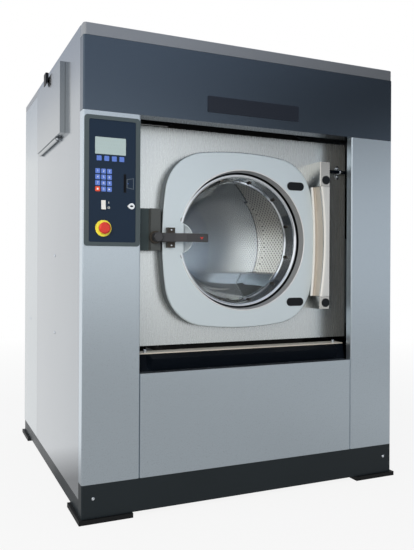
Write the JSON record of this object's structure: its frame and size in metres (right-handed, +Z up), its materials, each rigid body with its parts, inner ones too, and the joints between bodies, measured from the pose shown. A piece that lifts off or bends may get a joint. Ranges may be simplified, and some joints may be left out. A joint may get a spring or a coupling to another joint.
{
  "type": "washer-extractor",
  "caption": "Tall free-standing front-loading washer-extractor with a round glass door, side lever, keypad column, soap hopper on the side and a sprung tub.",
  "frame": {"origin": "on the floor at the centre of the casing's footprint", "axes": "+Z up, +X to the right seen from the front, the front faces -Y"},
  "size_m": [1.352, 1.366, 1.7],
  "materials": {
    "stainless_sheet": "satin",
    "satin_stainless": "satin",
    "polished_steel": "polished",
    "machined_steel": "satin",
    "silver_paint": "satin",
    "slate_paint": "satin",
    "cap_grey_paint": "satin",
    "dark_paint": "satin",
    "black_paint": "satin",
    "motor_paint": "satin",
    "galvanised_sheet": "matte",
    "grey_cast_iron": "matte",
    "black_rubber": "matte",
    "black_plastic": "matte",
    "lock_plastic": "satin",
    "bezel_plastic": "matte",
    "overlay_film": "satin",
    "lcd_window": "gloss",
    "key_film": "satin",
    "yellow_plastic": "gloss",
    "red_plastic": "gloss",
    "grey_plastic": "matte",
    "clear_guard": "gloss",
    "door_glass": "polished",
    "brass_fitting": "satin"
  },
  "bodies": {
    "cabinet": {"foot_plates": "black_paint", "base_frame": "dark_paint", "plinth_panel": "dark_paint", "left_side_panel": "stainless_sheet", "right_side_panel": "stainless_sheet", "rear_side_panels": "stainless_sheet", "rear_panel": "galvanised_sheet", "top_cover": "cap_grey_paint", "header_fascia": "slate_paint", "badge_plate": "cap_grey_paint", "control_column": "silver_paint", "right_column": "silver_paint", "lower_front_panel": "silver_paint", "knee_bumper": "black_rubber", "sill_strip": "stainless_sheet", "control_bezel": "bezel_plastic", "control_overlay": "overlay_film", "display_window": "lcd_window", "keypad_keys": "key_film", "card_reader": "black_plastic", "estop_collar": "yellow_plastic", "hopper_box": "grey_plastic", "hopper_hinge_rod": "machined_steel", "inlet_valves": "brass_fitting", "drain_outlet": "grey_plastic", "inverter_box": "galvanised_sheet", "damper_cylinders": "black_paint", "suspension_springs": "black_rubber"},
    "power_rocker": {"power_rocker": "black_plastic"},
    "key_switch": {"key_switch": "polished_steel"},
    "estop_button": {"estop_button": "red_plastic"},
    "hopper_flap": {"hopper_flap": "stainless_sheet", "hopper_handle": "black_plastic"},
    "tub": {"outer_tub": "stainless_sheet", "drain_valve": "grey_plastic", "tub_front_plate": "stainless_sheet", "door_seal": "black_rubber", "lock_box": "lock_plastic", "hinge_boxes": "satin_stainless", "hinge_plugs": "black_plastic", "lock_lead": "black_rubber", "bearing_housing": "grey_cast_iron", "shaft_bearings": "machined_steel", "drive_motor": "motor_paint", "drive_belt": "black_rubber", "damper_rods": "polished_steel"},
    "drum": {"drum_shell": "satin_stainless", "drum_lifters": "satin_stainless", "drum_spider": "grey_cast_iron", "drum_pulley": "grey_cast_iron"},
    "motor_rotor": {"motor_pulley": "machined_steel"},
    "door": {"door_plate": "satin_stainless", "door_ring": "polished_steel", "ring_clips": "machined_steel", "door_glass": "door_glass", "door_plugs": "black_plastic", "hinge_post": "satin_stainless", "lever_bracket": "satin_stainless", "finger_guard": "clear_guard"},
    "door_lever": {"door_lever": "black_paint"}
  },
  "joints": [
    {"name": "tub_suspension", "type": "slide", "parent": "cabinet", "child": "tub", "axis": [0, 0, 1], "range_m": [-0.01, 0.01], "stiffness_N_per_m": 190000, "springref_m": 0.02726, "deforming": ["suspension_springs"]},
    {"name": "drum_spin", "type": "hinge", "parent": "tub", "child": "drum", "pos_m": [0, 0, 0.977], "axis": [0, 1, 0], "continuous": true},
    {"name": "motor_spin", "type": "hinge", "parent": "tub", "child": "motor_rotor", "pos_m": [0.18, 0.45, 0.33], "axis": [0, 1, 0], "continuous": true},
    {"name": "door_hinge", "type": "hinge", "parent": "tub", "child": "door", "pos_m": [0.337, -0.605, 0.977], "axis": [0, 0, 1], "range_deg": [0, 135]},
    {"name": "door_lever_turn", "type": "hinge", "parent": "door", "child": "door_lever", "pos_m": [-0.377, -0.606, 0.979], "axis": [0, 1, 0], "range_deg": [0, 90]},
    {"name": "estop_press", "type": "slide", "parent": "cabinet", "child": "estop_button", "axis": [0, 1, 0], "range_m": [0, 0.005], "stiffness_N_per_m": 1500, "springref_m": -0.002},
    {"name": "power_rocker_tilt", "type": "hinge", "parent": "cabinet", "child": "power_rocker", "pos_m": [-0.5845, -0.65, 1.0815], "axis": [1, 0, 0], "range_deg": [0, 16]},
    {"name": "key_switch_turn", "type": "hinge", "parent": "cabinet", "child": "key_switch", "pos_m": [-0.4845, -0.65, 1.0815], "axis": [0, 1, 0], "range_deg": [0, 90]},
    {"name": "hopper_flap_turn", "type": "hinge", "parent": "cabinet", "child": "hopper_flap", "pos_m": [-0.664, -0.092, 1.3735], "axis": [0, -1, 0], "range_deg": [0, 60]}
  ],
  "couplings": [
    {"joint": "motor_spin", "follows": "drum_spin", "ratio": 4.1818}
  ]
}
